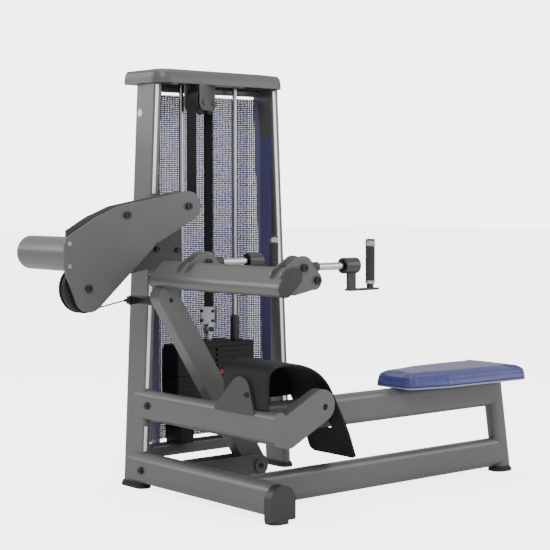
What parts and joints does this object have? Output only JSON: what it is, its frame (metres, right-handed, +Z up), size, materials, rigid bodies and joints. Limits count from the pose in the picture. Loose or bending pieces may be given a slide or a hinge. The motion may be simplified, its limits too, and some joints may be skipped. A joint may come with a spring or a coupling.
{
  "type": "seated lever row machine",
  "caption": "Gym rowing station: side tower with weight stack, pulley boom, swinging lever with crossbar and two upright grips, curved foot plate, flat padded bench.",
  "frame": {"origin": "on the floor, on the sole of the foot under the left tower upright, 6 mm outside its centre", "axes": "+X along the bench towards its rear end, +Y from the bench towards the tower, +Z up"},
  "size_m": [1.876, 1.239, 1.68],
  "materials": {
    "frame_grey": "satin powder coat",
    "dark_grey": "satin powder coat",
    "cap_grey": "satin moulded",
    "trim_white": "gloss strip",
    "rubber_black": "matte",
    "panel_blue": "perforated powder coated sheet",
    "chrome": "polished",
    "stack_black": "semi-matte black",
    "zinc_steel": "bright zinc",
    "black_plastic": "moulded",
    "bolt_black": "black oxide",
    "belt_black": "ribbed belt and coated cable",
    "handle_black": "satin black",
    "grip_rubber": "fine ribbed rubber",
    "foot_black": "fine grain",
    "board": "smooth underside board",
    "seat_blue": "grained upholstery vinyl"
  },
  "bodies": {
    "frame": {"left_upright": "frame_grey", "right_upright": "frame_grey", "upright_trims": "trim_white", "rubber_feet": "rubber_black", "top_cap": "cap_grey", "tower_crossmembers": "frame_grey", "mesh_panel": "panel_blue", "guide_rods": "chrome", "stack_pedestal": "stack_black", "stack_buffers": "rubber_black", "resting_plates": "stack_black", "stack_strand": "belt_black", "lift_belt": "belt_black", "top_pulley_bracket": "stack_black", "boom_near_cheek": "frame_grey", "boom_far_cheek": "frame_grey", "boom_web": "frame_grey", "boom_tube": "frame_grey", "boom_mount_plate": "dark_grey", "frame_bolts": "bolt_black", "boom_screws": "chrome", "pivot_bracket": "frame_grey", "pivot_shaft": "zinc_steel", "floor_beam": "frame_grey", "upper_beam": "frame_grey", "beam_saddles": "frame_grey", "end_shoe": "black_plastic", "seat_rail": "frame_grey", "bench_tube": "frame_grey", "rear_post": "frame_grey", "foot_leg": "frame_grey", "foot_lug": "dark_grey", "foot_plate": "foot_black", "seat_board": "board", "seat_pad": "seat_blue"},
    "lever": {"swing_lever": "frame_grey", "crossbar": "frame_grey", "crossbar_caps": "black_plastic", "cable_arm": "bolt_black", "lever_cable": "belt_black", "near_rod_bracket": "frame_grey", "far_rod_bracket": "frame_grey", "bracket_bolts": "bolt_black", "handle_rods": "chrome", "rod_collars": "black_plastic"},
    "near_handle": {"near_handle": "handle_black"},
    "far_handle": {"far_handle": "handle_black"},
    "near_grip": {"near_grip": "grip_rubber"},
    "far_grip": {"far_grip": "grip_rubber"},
    "stack": {"lifted_plates": "stack_black", "top_plate": "stack_black", "selector_stem": "zinc_steel", "guide_bushings": "black_plastic", "belt_clamp": "zinc_steel", "clamp_bolts": "bolt_black"},
    "pin": {"selector_pin": "black_plastic"},
    "small_pulley": {"boom_small_pulley": "black_plastic"},
    "large_pulley": {"boom_large_pulley": "black_plastic"},
    "top_pulley_a": {"top_pulley_right": "black_plastic"},
    "top_pulley_b": {"top_pulley_left": "black_plastic"}
  },
  "joints": [
    {"name": "lever_swing", "type": "hinge", "parent": "frame", "child": "lever", "pos_m": [0.365, -0.305, 0.092], "axis": [0, 1, 0], "range_deg": [0, 27], "deforming": ["lever_cable"]},
    {"name": "stack_lift", "type": "slide", "parent": "frame", "child": "stack", "axis": [0, 0, 1], "range_m": [0, 0.366], "deforming": ["stack_strand"]},
    {"name": "pin_pull", "type": "slide", "parent": "stack", "child": "pin", "axis": [0, -1, 0], "range_m": [0, 0.12]},
    {"name": "small_pulley_spin", "type": "hinge", "parent": "frame", "child": "small_pulley", "pos_m": [0.153, -0.12, 1.129], "axis": [0, 1, 0], "range_deg": [-500, 500]},
    {"name": "large_pulley_spin", "type": "hinge", "parent": "frame", "child": "large_pulley", "pos_m": [-0.318, -0.12, 0.818], "axis": [0, 1, 0], "range_deg": [-260, 260]},
    {"name": "top_pulley_a_spin", "type": "hinge", "parent": "frame", "child": "top_pulley_a", "pos_m": [0.33226, -0.03221, 1.548], "axis": [-0.5502, 0.8351, 0], "range_deg": [-500, 500]},
    {"name": "top_pulley_b_spin", "type": "hinge", "parent": "frame", "child": "top_pulley_b", "pos_m": [0.23574, -0.09579, 1.548], "axis": [-0.5502, 0.8351, 0], "range_deg": [-500, 500]},
    {"name": "near_handle_swivel", "type": "hinge", "parent": "lever", "child": "near_handle", "pos_m": [0.268, -0.98, 0.918], "axis": [1, 0, 0], "range_deg": [-40, 40]},
    {"name": "far_handle_swivel", "type": "hinge", "parent": "lever", "child": "far_handle", "pos_m": [0.268, -0.43, 0.918], "axis": [1, 0, 0], "range_deg": [-40, 40]},
    {"name": "near_grip_spin", "type": "hinge", "parent": "near_handle", "child": "near_grip", "pos_m": [0.372, -0.98, 0.93], "axis": [0, 0, 1], "continuous": true},
    {"name": "far_grip_spin", "type": "hinge", "parent": "far_handle", "child": "far_grip", "pos_m": [0.372, -0.43, 0.93], "axis": [0, 0, 1], "continuous": true}
  ],
  "couplings": [
    {"joint": "stack_lift", "follows": "lever_swing", "m_per_rad": 0.774},
    {"joint": "small_pulley_spin", "follows": "lever_swing", "ratio": 17.8},
    {"joint": "large_pulley_spin", "follows": "lever_swing", "ratio": -8.68},
    {"joint": "top_pulley_a_spin", "follows": "lever_swing", "ratio": -18.2},
    {"joint": "top_pulley_b_spin", "follows": "lever_swing", "ratio": -18.2}
  ]
}
